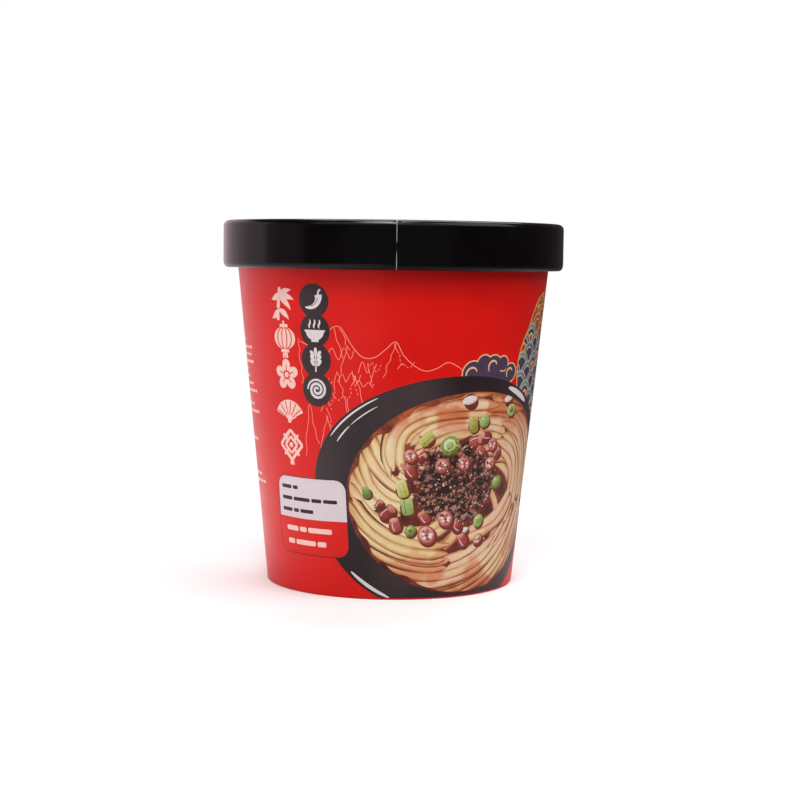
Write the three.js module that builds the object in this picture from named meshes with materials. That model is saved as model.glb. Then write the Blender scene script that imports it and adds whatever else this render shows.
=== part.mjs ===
import * as THREE from 'three';

// A shut paper noodle cup: a tapered board cup on a rolled foot, under a pressed-on board lid.
// Millimetres, +Z up. The origin is the middle of the foot ring, on the surface it stands on.

// Driving dimensions
const TOTAL_HEIGHT = 124.6;     // foot ring to the top of the lid's rim
const LID_DIAMETER = 118;       // outside of the lid's band
const LID_BAND_HEIGHT = 16;     // the band from its rolled hem to the top of the rim
const FOOT_RADIUS = 42.9;       // outside of the cup wall where it meets the surface
const WALL_FLARE = 0.1013;      // growth of the wall's radius for each millimetre of height
const BASE_RECESS = 6;          // height of the base disc above the surface
const FOOT_RING_THICKNESS = 1.4;// wall and base skirt folded together
const BOARD = 0.5;              // one thickness of lid board
const BAND_THICKNESS = 0.9;     // lid band, two layers of board glued together
const CLEARANCE = 0.3;          // gap left between the lid and the rim that carries it
const SIDES = 80;               // facets round every turned form
const ARC_STEPS = 2;            // half the number of straight steps in a rounded corner

// Sizes that follow from them
const LID_RADIUS = LID_DIAMETER / 2;
const RIM_RISE = 2.6;           // the lid's rim stands this far above its panel
const RIM_WIDTH = 3.4;          // the lid's rim, from the band's outside to its inner side
const RIM_OUTER_ROUND = 2.0;    // rounded shoulder of the lid
const RIM_INNER_ROUND = 1.0;
const HEM_WIDTH = 2.2;          // lower edge of the band, rolled inwards
const HEM_HEIGHT = 2.6;
const HEM_ROUND_WIDTH = 1.5;    // rounded outside of the hem
const HEM_ROUND_HEIGHT = 2.2;
const HEM_INNER_ROUND = 0.7;
const BEAD_RADIUS = 1.5;        // rolled lip of the cup
const FOOT_ROUND = 0.5;         // bend at the bottom of the foot ring
const BASE_BEND = 1.2;          // bend where the base disc turns down into the foot ring

const panelTop = TOTAL_HEIGHT - RIM_RISE;
const panelUnder = panelTop - BOARD;
const bandBottom = TOTAL_HEIGHT - LID_BAND_HEIGHT;
const bandInside = LID_RADIUS - BAND_THICKNESS;
const cupTop = panelUnder - CLEARANCE;
const beadHeight = cupTop - BEAD_RADIUS;
const beadCentre = bandInside - 2 * CLEARANCE - BEAD_RADIUS;

const wallRadius = (height) => FOOT_RADIUS + WALL_FLARE * height;

// Turns an outline that starts and ends on the axis round the Z axis.
function turned(outline) {
  const geometry = new THREE.LatheGeometry(outline.getPoints(ARC_STEPS), SIDES);
  return geometry.rotateX(Math.PI / 2);
}

function cupOutline() {
  const footInside = FOOT_RADIUS - FOOT_RING_THICKNESS;
  const ringTopInside = wallRadius(BASE_RECESS) - FOOT_RING_THICKNESS;
  const neck = beadHeight - BEAD_RADIUS;
  const outline = new THREE.Path();
  outline.moveTo(0, BASE_RECESS);
  outline.lineTo(ringTopInside - BASE_BEND, BASE_RECESS);
  outline.quadraticCurveTo(ringTopInside, BASE_RECESS, ringTopInside, BASE_RECESS - BASE_BEND);
  outline.lineTo(footInside, FOOT_ROUND);
  outline.lineTo(footInside + FOOT_ROUND / 2, 0);
  outline.lineTo(FOOT_RADIUS - FOOT_ROUND / 2, 0);
  outline.lineTo(wallRadius(FOOT_ROUND), FOOT_ROUND);
  outline.lineTo(wallRadius(neck), neck);
  outline.absarc(beadCentre, beadHeight, BEAD_RADIUS, -Math.PI / 2, Math.PI / 2, false);
  outline.lineTo(0, cupTop);
  return outline;
}

function lidOutline() {
  const shoulder = LID_RADIUS - RIM_OUTER_ROUND;
  const rimInside = LID_RADIUS - RIM_WIDTH;
  const hemInside = LID_RADIUS - HEM_WIDTH;
  const outline = new THREE.Path();
  outline.moveTo(0, panelUnder);
  outline.lineTo(bandInside, panelUnder);
  outline.lineTo(bandInside, bandBottom + HEM_HEIGHT + HEM_WIDTH - BAND_THICKNESS);
  outline.lineTo(hemInside, bandBottom + HEM_HEIGHT);
  outline.lineTo(hemInside, bandBottom + HEM_INNER_ROUND);
  outline.quadraticCurveTo(hemInside, bandBottom, hemInside + HEM_INNER_ROUND, bandBottom);
  outline.absellipse(
    LID_RADIUS - HEM_ROUND_WIDTH, bandBottom + HEM_ROUND_HEIGHT,
    HEM_ROUND_WIDTH, HEM_ROUND_HEIGHT, -Math.PI / 2, 0, false,
  );
  outline.absarc(shoulder, TOTAL_HEIGHT - RIM_OUTER_ROUND, RIM_OUTER_ROUND, 0, Math.PI / 2, false);
  outline.absarc(
    rimInside + RIM_INNER_ROUND, TOTAL_HEIGHT - RIM_INNER_ROUND, RIM_INNER_ROUND,
    Math.PI / 2, Math.PI, false,
  );
  outline.lineTo(rimInside, panelTop);
  outline.lineTo(0, panelTop);
  return outline;
}

function cup() {
  const material = new THREE.MeshStandardMaterial({ color: 0xd12a28, roughness: 0.42, metalness: 0 });
  const mesh = new THREE.Mesh(turned(cupOutline()), material);
  mesh.name = 'cup';
  return mesh;
}

function lid() {
  const material = new THREE.MeshStandardMaterial({ color: 0x120e0f, roughness: 0.45, metalness: 0 });
  const mesh = new THREE.Mesh(turned(lidOutline()), material);
  mesh.name = 'lid';
  return mesh;
}

const group = new THREE.Group();
group.add(cup(), lid());

export default group;
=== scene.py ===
import math
import random

import bpy
import numpy as np
from bpy.props import FloatProperty, FloatVectorProperty, IntProperty, PointerProperty
from mathutils import Matrix, Vector
from mathutils.geometry import delaunay_2d_cdt


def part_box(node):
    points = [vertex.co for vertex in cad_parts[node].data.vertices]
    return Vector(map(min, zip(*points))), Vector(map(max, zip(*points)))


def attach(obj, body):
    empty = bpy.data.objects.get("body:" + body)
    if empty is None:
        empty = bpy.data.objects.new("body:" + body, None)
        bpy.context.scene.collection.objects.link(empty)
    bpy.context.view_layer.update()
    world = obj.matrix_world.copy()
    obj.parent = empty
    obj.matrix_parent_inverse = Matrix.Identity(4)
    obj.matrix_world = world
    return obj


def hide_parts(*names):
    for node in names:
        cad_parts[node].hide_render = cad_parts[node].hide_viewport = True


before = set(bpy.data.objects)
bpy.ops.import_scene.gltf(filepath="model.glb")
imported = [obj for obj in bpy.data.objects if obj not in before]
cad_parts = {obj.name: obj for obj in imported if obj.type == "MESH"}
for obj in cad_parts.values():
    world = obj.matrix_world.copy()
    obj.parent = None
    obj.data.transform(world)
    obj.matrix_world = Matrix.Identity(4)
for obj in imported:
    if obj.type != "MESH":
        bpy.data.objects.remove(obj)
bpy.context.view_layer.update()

bl_info = {
    "name": "Instant noodle cup",
    "version": (1, 0, 0),
    "blender": (4, 5, 0),
    "location": "3D View > Sidebar > Noodle cup",
    "description": "A printed board cup under a black board lid, made round the packed frame",
    "category": "Add Mesh",
}

MM = 0.001
LID_LOW, LID_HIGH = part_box("lid")
CUP_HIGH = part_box("cup")[1]


def linear(code):
    """A colour written as six hex digits, in the linear values that shaders take."""
    parts = [int(code[i:i + 2], 16) / 255 for i in (0, 2, 4)]
    return tuple(p / 12.92 if p <= 0.04045 else ((p + 0.055) / 1.055) ** 2.4 for p in parts)


def length(name, description, metres):
    return FloatProperty(name=name, description=description, default=metres, min=0.0,
                         precision=5, unit="LENGTH")


def degrees(name, description, value):
    return FloatProperty(name=name, description=description, default=math.radians(value),
                         subtype="ANGLE")


def colour(name, description, code):
    return FloatVectorProperty(name=name, description=description, default=linear(code),
                               min=0.0, max=1.0, size=3, subtype="COLOR")


class NoodleCupSizes(bpy.types.PropertyGroup):
    """Sizes of the board cup and its lid."""
    foot_radius: length("Foot radius", "Outside of the wall where it meets the table", 0.0429)
    wall_flare: FloatProperty(name="Wall flare", default=0.1013,
                              description="Growth of the wall's radius for each metre of height")
    base_recess: length("Base recess", "Height of the base disc above the table", 0.006)
    foot_ring: length("Foot ring", "Thickness of the folded foot", 0.0014)
    lip_radius: length("Lip radius", "Radius of the rolled lip under the lid", 0.0015)
    lap_thickness: length("Lap thickness", "Board thickness that shows where a seam overlaps", 0.0003)
    lap_width: length("Lap width", "Length over which the outer board rises on a seam", 0.009)
    cut_edge: length("Cut edge", "Width of raw board that shows at a seam", 0.00021)
    band_thickness: length("Band thickness", "Board of the lid's band", 0.0009)
    rim_width: length("Rim width", "Width of the lid's raised rim", 0.0034)
    rim_rise: length("Rim rise", "Height of the rim above the lid's panel", 0.0026)
    rim_round: length("Rim round", "Radius of the lid's outer shoulder", 0.002)
    hem_width: length("Hem width", "Thickness of the band's rolled lower edge", 0.0022)
    hem_height: length("Hem height", "Height of the band's rolled lower edge", 0.0026)
    lid_seam: degrees("Lid seam", "Angle of the lid's seam from the front", 0.95)
    crimps: IntProperty(name="Crimps", description="Pressed ribs inside the foot ring",
                        default=132, min=12)


class NoodleCupColours(bpy.types.PropertyGroup):
    """Inks and boards."""
    poppy: colour("Poppy", "Red ground of the print", "E11008")
    rose: colour("Rose", "Pale ornaments", "FFD3C6")
    line: colour("Line", "Fine lines of the hills", "FF9A88")
    charcoal: colour("Charcoal", "Discs and bowl", "352A2C")
    glint: colour("Glint", "Light strokes and signs", "E9DEE0")
    broth: colour("Broth", "Chilli broth", "8E4630")
    shade: colour("Shade", "Shadows under the food", "6C3024")
    noodle: colour("Noodle", "Wheat noodles", "EED29A")
    mince: colour("Mince", "Dark crumbs of topping", "68433A")
    chilli: colour("Chilli", "Skin of the chilli slices", "AC4640")
    flesh: colour("Chilli flesh", "Inside of the chilli slices", "D2907E")
    leek: colour("Spring onion", "Green slices", "7F9E50")
    heart: colour("Spring onion heart", "Pale slices", "CCC468")
    seed: colour("Seed", "Seeds and nut crumbs", "E4C0A4")
    plum: colour("Plum", "Cloud", "4C3C55")
    apricot: colour("Apricot", "Lines round the cloud", "F2C08A")
    blue: colour("Wave blue", "Scales of the wave", "56779E")
    straw: colour("Straw", "Yellow of the wave", "D9B458")
    panel: colour("Panel", "Pale half of the label panel", "E4D8DD")
    black: colour("Black", "Fine dark print", "2A1A1A")
    raw: colour("Raw board", "Cut edges and underside", "E9E4DA")
    lid: colour("Lid board", "Black board of the lid", "050404")


def placed(name, data):
    """A new object in the scene."""
    item = bpy.data.objects.new(name, data)
    bpy.context.scene.collection.objects.link(item)
    return item


# Node helpers

def feed(tree, value, socket):
    """Links a socket to another one, or gives it a plain value."""
    if isinstance(value, bpy.types.NodeSocket):
        tree.links.new(value, socket)
    else:
        socket.default_value = value


def add_node(tree, kind, *values, named=None, **settings):
    """Adds a node. Its inputs are fed in order from values, and by name from named."""
    node = tree.nodes.new(kind)
    for name, setting in settings.items():
        setattr(node, name, setting)
    for key, value in (*enumerate(values), *(named or {}).items()):
        feed(tree, value, node.inputs[key])
    return node


def calc(tree, operation, *values, clamp=False):
    return add_node(tree, "ShaderNodeMath", *values, operation=operation, use_clamp=clamp).outputs[0]


def scaled(tree, value, factor):
    return calc(tree, "MULTIPLY", value, factor)


def about_half(tree, value, reach):
    """A value round a half, turned into one round nought that goes up and down by reach / 2."""
    return scaled(tree, calc(tree, "SUBTRACT", value, 0.5), reach)


def total(tree, level, *terms):
    """Adds terms to a level, and keeps the end result between 0 and 1."""
    for number, term in enumerate(terms, 1):
        level = calc(tree, "ADD", level, term, clamp=number == len(terms))
    return level


def remap(tree, value, low, high, to_low=0.0, to_high=1.0, smooth=False):
    kind = "SMOOTHSTEP" if smooth else "LINEAR"
    return add_node(tree, "ShaderNodeMapRange", value, low, high, to_low, to_high,
                    interpolation_type=kind).outputs["Result"]


def noise(tree, place, scale, detail=2.0, roughness=0.5):
    named = {"Vector": place, "Scale": scale, "Detail": detail, "Roughness": roughness}
    return add_node(tree, "ShaderNodeTexNoise", named=named).outputs["Fac"]


def blend(tree, kind, factor, *colours):
    """Mixes two colours. A colour is a socket or three linear values."""
    node = add_node(tree, "ShaderNodeMix", factor, data_type="RGBA", blend_type=kind)
    for value, socket in zip(colours, node.inputs[6:8]):
        feed(tree, value if isinstance(value, bpy.types.NodeSocket) else (*value, 1.0), socket)
    return node.outputs[2]


def ramp(tree, value, *stops):
    """A colour ramp. Each stop is a place from 0 to 1 and a colour."""
    node = add_node(tree, "ShaderNodeValToRGB", value)
    elements = node.color_ramp.elements
    while len(elements) < len(stops):
        elements.new(0.5)
    for element, (place, code) in zip(elements, stops):
        element.position = place
        element.color = (*(linear(code) if isinstance(code, str) else code), 1.0)
    return node.outputs[0]


def attribute(tree, name):
    return add_node(tree, "ShaderNodeAttribute", attribute_name=name).outputs


def object_place(tree, scale=(1, 1, 1)):
    """Place on the piece, in metres, stretched by scale."""
    place = add_node(tree, "ShaderNodeTexCoord").outputs["Object"]
    return add_node(tree, "ShaderNodeMapping", named={"Vector": place, "Scale": scale}).outputs["Vector"]


def split(tree, vector):
    return add_node(tree, "ShaderNodeSeparateXYZ", vector).outputs


def joined(tree, *parts):
    return add_node(tree, "ShaderNodeCombineXYZ", *parts).outputs[0]


def bump(tree, height, strength, distance, **below):
    named = {"Strength": strength, "Distance": distance, "Height": height, **below}
    return add_node(tree, "ShaderNodeBump", named=named).outputs[0]


def emptied(holder):
    """The node tree of a new material or world, with nothing in it."""
    holder.use_nodes = True
    holder.node_tree.nodes.clear()
    return holder.node_tree


# Materials

def board_material(name, base, pattern=None, rough=(0.30, 0.38), grain=0.25, mottle=0.05, sheen=0.28):
    """Printed or coated board: fine fibre in the relief, uneven varnish and slightly uneven ink.

    A pattern is a function that makes the base colour out of a plain one.
    """
    material = bpy.data.materials.new(name)
    tree = emptied(material)
    place = object_place(tree)
    fibre, cloudy = noise(tree, place, 1500.0, 3.0, 0.6), noise(tree, place, 90.0, 3.0)
    tone = calc(tree, "ADD", scaled(tree, fibre, 0.4), scaled(tree, cloudy, 0.6))
    tone = remap(tree, tone, 0.3, 0.7, 1.0 - mottle, 1.0 + mottle)
    grey = add_node(tree, "ShaderNodeCombineColor", tone, tone, tone).outputs[0]
    plain = tuple(base)
    ink = pattern(tree, plain) if pattern else plain
    fine = bump(tree, fibre, grain, 0.00004)
    shader = add_node(tree, "ShaderNodeBsdfPrincipled", named={
        "Specular IOR Level": sheen,
        "Base Color": blend(tree, "MULTIPLY", 1.0, ink, grey),
        "Roughness": remap(tree, cloudy, 0.3, 0.7, *rough),
        "Normal": bump(tree, noise(tree, place, 22.0, 1.0), 0.25, 0.0006, Normal=fine)})
    add_node(tree, "ShaderNodeOutputMaterial", shader.outputs[0])
    return material


def tonal(dark, light, wander=0.5, grain=0.7):
    """A pictured thing, lit from the upper left, that differs a little from piece to piece."""
    def pattern(tree, base):
        own = split(tree, attribute(tree, "strand")["Vector"])[2]
        lit = attribute(tree, "lit")["Fac"]
        speckle = noise(tree, object_place(tree), 900.0, 2.0)
        level = total(tree, scaled(tree, lit, 0.32), 0.5, about_half(tree, own, wander),
                      about_half(tree, speckle, grain))
        return ramp(tree, level, (0.0, dark), (0.5, base), (1.0, light))
    return pattern


def noodle_pattern(tree, base):
    """Pictured noodles: pale along the middle, tan at the sides, with brown between them."""
    across, along, seed = split(tree, attribute(tree, "strand")["Vector"])
    lit = attribute(tree, "lit")["Fac"]
    edge = calc(tree, "SUBTRACT", 1.0, calc(tree, "ABSOLUTE", across))
    run = joined(tree, scaled(tree, across, 1.1), scaled(tree, along, 0.08), scaled(tree, seed, 37.0))
    streak = noise(tree, run, 1.5, 3.0, 0.6)
    place = object_place(tree)
    x, _, z = split(tree, place)
    level = total(tree, 0.27, scaled(tree, remap(tree, edge, 0.0, 0.62, smooth=True), 0.40),
                  scaled(tree, lit, 0.13), about_half(tree, streak, 0.8), about_half(tree, seed, 0.22),
                  remap(tree, x, -0.002, 0.016, 0.10, 0.0))
    pale = ramp(tree, level, (0.0, "9A5632"), (0.16, "C08448"), (0.36, "DCB274"), (0.62, base),
                (1.0, "F8EAC6"))
    rosy = ramp(tree, level, (0.0, "6C2C20"), (0.16, "A85A40"), (0.36, "D0906A"), (0.62, "E4B692"),
                (1.0, "F4DAC4"))
    drift = noise(tree, place, 90.0, 2.0)
    warm = total(tree, remap(tree, x, -0.006, 0.022, -0.1, 0.75),
                 remap(tree, drift, 0.38, 0.66, -0.35, 0.6), about_half(tree, seed, 0.7))
    body = blend(tree, "MIX", warm, pale, rosy)
    deep = calc(tree, "MAXIMUM", remap(tree, z, 0.050, 0.063, smooth=True),
                remap(tree, z, 0.006, 0.026, 0.85, 0.0, smooth=True))
    oil = calc(tree, "MULTIPLY", deep, remap(tree, drift, 0.44, 0.56, smooth=True))
    body = blend(tree, "MULTIPLY", scaled(tree, oil, 0.8), body, linear("E79A62"))
    gap = remap(tree, edge, -0.20, 0.10, 0.7, 0.0, smooth=True)
    return blend(tree, "MIX", gap, body, linear("9A5434"))


def broth_pattern(tree, base):
    """Pictured broth: dark red-brown with orange oil on it, most of all towards the top."""
    place = object_place(tree)
    pools = noise(tree, place, 190.0, 4.0, 0.62)
    oily = calc(tree, "ADD", pools, remap(tree, split(tree, place)[2], 0.030, 0.068, -0.08, 0.16))
    return ramp(tree, oily, (0.25, "43181A"), (0.45, "6E2A22"), (0.6, base), (0.78, "C8642F"))


def glaze_pattern(tree, base):
    """Dark glaze with a broad soft sheen."""
    sheen = noise(tree, object_place(tree, (1, 1, 0.6)), 38.0, 1.0)
    return ramp(tree, sheen, (0.3, "271C1F"), (0.5, base), (0.75, "453639"))


def raw_pattern(tree, base):
    """Unprinted board, with fibres that show."""
    fibres = noise(tree, object_place(tree, (1, 1, 0.35)), 2200.0, 4.0, 0.7)
    return ramp(tree, fibres, (0.25, "BDB4A8"), (0.5, base), (0.8, "F6F3EE"))


def cut_edge_pattern(tree, base):
    """The cut edge of black board: pale where the core shows, darker where coating covers it."""
    place = object_place(tree)
    wander = about_half(tree, noise(tree, place, 400.0, 2.0), 0.5)
    away = calc(tree, "ABSOLUTE", calc(tree, "SUBTRACT", split(tree, place)[2], 0.1159))
    bare = total(tree, remap(tree, away, 0.0009, 0.0024), wander)
    return ramp(tree, bare, (0.0, "0C0A0B"), (0.4, "5A5657"), (0.9, base))


def lid_pattern(tree, base):
    """Black coated board with a few rubbed places."""
    rubbed = remap(tree, noise(tree, object_place(tree), 55.0, 5.0, 0.7), 0.55, 0.8)
    return blend(tree, "MIX", rubbed, base, linear("0E0C0D"))


# Inks of the cup, in the order of their material slots, with the patterns of those that aren't flat
INK_PATTERNS = {
    "poppy": None,
    "rose": None,
    "line": None,
    "charcoal": glaze_pattern,
    "glint": None,
    "broth": broth_pattern,
    "shade": None,
    "noodle": noodle_pattern,
    "mince": tonal("30181A", "BC8672", wander=1.0, grain=2.0),
    "chilli": tonal("6E221F", "C86A5E"),
    "flesh": tonal("B0665A", "E8C0AE"),
    "leek": tonal("556834", "B8C684", wander=0.7),
    "heart": tonal("98883C", "EAE6B8", wander=0.7),
    "seed": tonal("A87A60", "F4E2D0"),
    "plum": None,
    "apricot": None,
    "blue": tonal("40507A", "7A9EB4", wander=0.6),
    "straw": tonal("B07A3A", "E4CC88"),
    "panel": None,
    "black": None,
    "raw": raw_pattern,
}
INKS = list(INK_PATTERNS)
RAW_FINISH = {"rough": (0.7, 0.85), "grain": 0.6}
CUT_FINISH = {"rough": (0.6, 0.8), "grain": 0.6}
LID_FINISH = {"rough": (0.15, 0.21), "grain": 0.15, "mottle": 0.12, "sheen": 0.2}


def cup_inks(colours):
    return {name: board_material(name + "_ink", getattr(colours, name), pattern,
                                 **(RAW_FINISH if name == "raw" else {}))
            for name, pattern in INK_PATTERNS.items()}


# The flat blank: the wall cut open at the back and laid flat, in millimetres

class Blank:
    """Where things are on the wall and on the flat blank that it was rolled from."""

    def __init__(self, sizes):
        self.foot = sizes.foot_radius / MM
        self.flare = sizes.wall_flare
        self.apex = self.foot / self.flare
        self.slant = math.hypot(1.0, self.flare)
        self.fan = self.flare / self.slant

    def spot(self, angle, height):
        """Place on the blank of an angle from the front, in degrees, and a height."""
        reach = (height + self.apex) * self.slant
        turn = math.radians(angle) * self.fan
        return np.array([reach * math.sin(turn), reach * math.cos(turn) - self.apex * self.slant])

    def unspot(self, points):
        """Angles in degrees and heights of places on the blank."""
        points = np.asarray(points, float)
        out = points[:, 1] + self.apex * self.slant
        turn = np.arctan2(points[:, 0], out)
        return np.degrees(turn / self.fan), np.hypot(points[:, 0], out) / self.slant - self.apex

    def stamp(self, angle, height, scale=1.0):
        """Returns a function that lays a drawing upright on the wall at that place."""
        centre = self.spot(angle, height)
        lean = -math.radians(angle) * self.fan
        axes = scale * np.array([[math.cos(lean), math.sin(lean)],
                                 [-math.sin(lean), math.cos(lean)]])
        return lambda points: centre + np.asarray(points, float) @ axes


def rotated(points, turn):
    c, s = math.cos(turn), math.sin(turn)
    return np.asarray(points, float) @ np.array([[c, s], [-s, c]])


def polar(turn, wide, tall=None):
    """Points at angles in radians, as far out as wide sideways and tall upwards."""
    return np.stack([wide * np.cos(turn), (wide if tall is None else tall) * np.sin(turn)], 1)


def circle(centre, radius, count=28, squash=1.0, turn=0.0):
    steps = np.arange(count) * 2 * math.pi / count
    return rotated(polar(steps, radius, squash * radius), turn) + np.asarray(centre, float)


def rounded_box(centre, width, height, corner, steps=6):
    points = []
    for k, (sx, sy) in enumerate(((1, 1), (-1, 1), (-1, -1), (1, -1))):
        middle = (sx * (width / 2 - corner), sy * (height / 2 - corner))
        for i in range(steps + 1):
            a = (k + i / steps) * math.pi / 2
            points.append((middle[0] + corner * math.cos(a), middle[1] + corner * math.sin(a)))
    return np.array(points) + np.asarray(centre, float)


def on_ellipse(centre, wide, tall, start=0, end=360, count=121):
    """Points along part of an ellipse, from one angle to another in degrees."""
    return polar(np.radians(np.linspace(start, end, count)), wide, tall) + np.asarray(centre, float)


def normals_of(path):
    ahead = np.gradient(path, axis=0)
    ahead /= np.maximum(np.linalg.norm(ahead, axis=1, keepdims=True), 1e-9)
    return np.stack([-ahead[:, 1], ahead[:, 0]], 1)


def lengths_along(path):
    """How far along a path each of its points is."""
    return np.concatenate([[0], np.cumsum(np.linalg.norm(np.diff(path, axis=0), axis=1))])


def ribbon(path, half):
    """Outline of a stroke along a path, half as wide each side as half, a number or one each."""
    path = np.asarray(path, float)
    side = normals_of(path) * np.broadcast_to(half, len(path))[:, None]
    return np.concatenate([path - side, (path + side)[::-1]])


def cut_long(outline, most):
    """Adds corners so that no side of an outline is longer than most."""
    following = np.roll(outline, -1, axis=0)
    cuts = np.ceil(np.linalg.norm(following - outline, axis=1) / most).clip(1, None)
    return np.concatenate([a + (b - a) * (np.arange(n) / n)[:, None]
                           for a, b, n in zip(outline, following, cuts)])


def brush(path, half, taper=0.35):
    """Half widths of a brush stroke, narrower at both ends."""
    t = np.linspace(0, 1, len(path))
    return half * (taper + (1 - taper) * np.sin(math.pi * t) ** 0.5)


def stroke(path, half, taper=0.35):
    return ribbon(path, brush(path, half, taper))


def bezier(a, b, c, d, count=16):
    t = np.linspace(0, 1, count)[:, None]
    a, b, c, d = (np.asarray(p, float) for p in (a, b, c, d))
    return a * (1 - t) ** 3 + 3 * b * t * (1 - t) ** 2 + 3 * c * t * t * (1 - t) + d * t ** 3


LIGHT_ON_PRINT = np.array([-0.6, 0.8])
LONGEST_SIDE = 2.6      # a longer side of a shape would cut across the round wall as a chord


class FlatPrint:
    """Shapes laid on the blank in painting order: the last one over a spot is the ink that shows."""

    def __init__(self):
        self.points, self.faces, self.inks, self.within, self.marks = [], [], [], [], []
        self.draw = random.Random(7)
        self.dimming = lambda points: 0.0

    def add(self, outline, name, within=None, marks=None):
        """Lays a shape. It shows only inside the shape numbered within. Returns its number."""
        outline = cut_long(np.asarray(outline, float), LONGEST_SIDE)
        following = np.roll(outline, -1, axis=0)
        area = (outline[:, 0] * following[:, 1] - following[:, 0] * outline[:, 1]).sum()
        if area < 0:
            outline = outline[::-1]
        first = len(self.points)
        self.points.extend(outline)
        self.faces.append(list(range(first, first + len(outline))))
        self.inks.append(INKS.index(name))
        self.within.append(within)
        self.marks.append(marks or self.lit_marks(outline))
        return len(self.faces) - 1

    def lay(self, stamp, shapes, within=None):
        """Lays the shapes of a motif, each an outline and the name of its ink."""
        for outline, name in shapes:
            self.add(stamp(outline), name, within)

    def lit_marks(self, outline):
        """Marks of a plain shape: how far each point is towards the light, and a number of its own."""
        centre = outline.mean(0)
        reach = max(float(np.abs((outline - centre) @ LIGHT_ON_PRINT).max()), 1e-6)
        own = self.draw.random()
        dimming = self.dimming

        def marks(points):
            lit = (points - centre) @ LIGHT_ON_PRINT / reach - dimming(points)
            return np.zeros(len(points)), np.zeros(len(points)), np.full(len(points), own), lit
        return marks

    def strand(self, path, half, name, within, shade, depth):
        """A noodle: a ribbon that knows how far across and along it each point is."""
        path = np.asarray(path, float)
        own = self.draw.random()
        gone = lengths_along(path)
        side = normals_of(path)
        dimming = self.dimming

        def marks(points):
            start, step = path[:-1], np.diff(path, axis=0)
            size = (step ** 2).sum(1)
            share = (((points[:, None] - start) * step).sum(2) / size).clip(0, 1)
            near = start + share[..., None] * step
            best = ((points[:, None] - near) ** 2).sum(2).argmin(1)
            rows = np.arange(len(points))
            t = share[rows, best]
            off = points - near[rows, best]
            normal = side[best] * (1 - t[:, None]) + side[best + 1] * t[:, None]
            wide = half[best] * (1 - t) + half[best + 1] * t
            across = (off * normal).sum(1) / np.maximum(wide, 0.2)
            along = gone[best] * (1 - t) + gone[best + 1] * t
            lit = across * (normal @ LIGHT_ON_PRINT) - dimming(points) - depth
            return across, along, np.full(len(points), own), lit
        return self.add(ribbon(path, half + shade), name, within, marks)


# Motifs of the print: generators of outlines with the names of their inks

# Angles between which the wall takes the large part of its map
FRONT = (-85.0, 95.0)

# Places on the wall as angles from the front and heights
SKYLINE = ((-36, 85), (-30, 83.5), (-25.5, 87), (-21.5, 90), (-18.5, 89.6), (-15, 84.5), (-11, 80.6),
           (-6.5, 80.4), (-2.5, 83), (1.2, 85.6), (4, 81.5), (8, 78), (12.5, 76.2), (17, 77.2),
           (21, 79), (26, 77), (31, 73.6), (37, 74))


def smooth_path(points, steps=5):
    """A smooth path through points (a Catmull-Rom curve)."""
    p = np.asarray(points, float)
    p = np.concatenate([[2 * p[0] - p[1]], p, [2 * p[-1] - p[-2]]])
    t = np.linspace(0, 1, steps, endpoint=False)[:, None]
    parts = [0.5 * (2 * b + (c - a) * t + (2 * a - 5 * b + 4 * c - d) * t * t
                    + (3 * b - a - 3 * c + d) * t ** 3) for a, b, c, d in zip(p, p[1:], p[2:], p[3:])]
    return np.concatenate(parts + [p[-2:-1]])


def low_range(draw, start, end, height, rise):
    """A row of small soft peaks, as angles and heights."""
    points, angle, high = [], start, False
    while angle < end:
        lift = draw.uniform(0.5, 1.0) if high else draw.uniform(-0.3, 0.15)
        points.append((angle, height + rise * lift))
        angle += draw.uniform(1.2, 2.6)
        high = not high
    return smooth_path(points)


def spine(draw, angle, height, drop, lean):
    """A line that winds down from a peak, as angles and heights."""
    steps = max(3, round(drop / 2.0))
    return smooth_path([(angle + lean * k / steps + (draw.uniform(-0.55, 0.55) if k else 0.0),
                         height - drop * k / steps) for k in range(steps + 1)])


def dashes(path, size):
    """Cuts a path into short strokes."""
    gone = lengths_along(path)
    for start in np.arange(0, gone[-1] - size, 1.8 * size):
        steps = np.linspace(start, start + size, 3)
        yield np.stack([np.interp(steps, gone, path[:, 0]), np.interp(steps, gone, path[:, 1])], 1)


# Rows of small peaks (start, end, height, rise) and lines down from peaks (angle, height, drop, lean)
LOW_RANGES = ((-24.5, -13, 80.0, 3.6), (-12.5, -3, 76.0, 3.0), (-20.5, -11, 73.0, 3.4),
              (-31, -21, 70.0, 3.8), (2, 9.5, 77.0, 2.6))
SPINES = ((-21.3, 89.8, 10, 3.2), (-19.3, 89.6, 7, 3.6), (1.2, 85.5, 8, 2.6), (0.8, 85.0, 11, -3.6),
          (-16.2, 84.0, 9, -3.0), (-8.8, 78.6, 8, 2.4), (-24.0, 73.2, 11, -3.4), (-27.0, 73.0, 9, 3.2),
          (-14.8, 76.0, 9, 2.6), (-5.6, 78.4, 7, -2.2), (-33.5, 64.0, 17, -2.2), (-25.5, 63.5, 8, 2.6),
          (-36.6, 86.0, 15, 1.0), (-33.0, 64.5, 13, 3.4))

# The same for the foothills, in front of the hills
FOOTHILLS = ((-25.5, -16, 66.0, 3.0), (-13.5, -6, 71.0, 2.6))
FOOT_SPINES = ((-20.6, 75.5, 15, 4.8), (-20.6, 75.5, 13, -3.2), (-25.4, 61.0, 13, 3.4),
               (-25.4, 61.0, 14, -3.6), (-13.6, 74.5, 8, -2.6), (-13.6, 74.5, 10, 3.2),
               (-29.6, 48.0, 10, 2.6), (-29.6, 48.0, 11, -2.4), (-16.8, 67.0, 9, 2.0))


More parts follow.
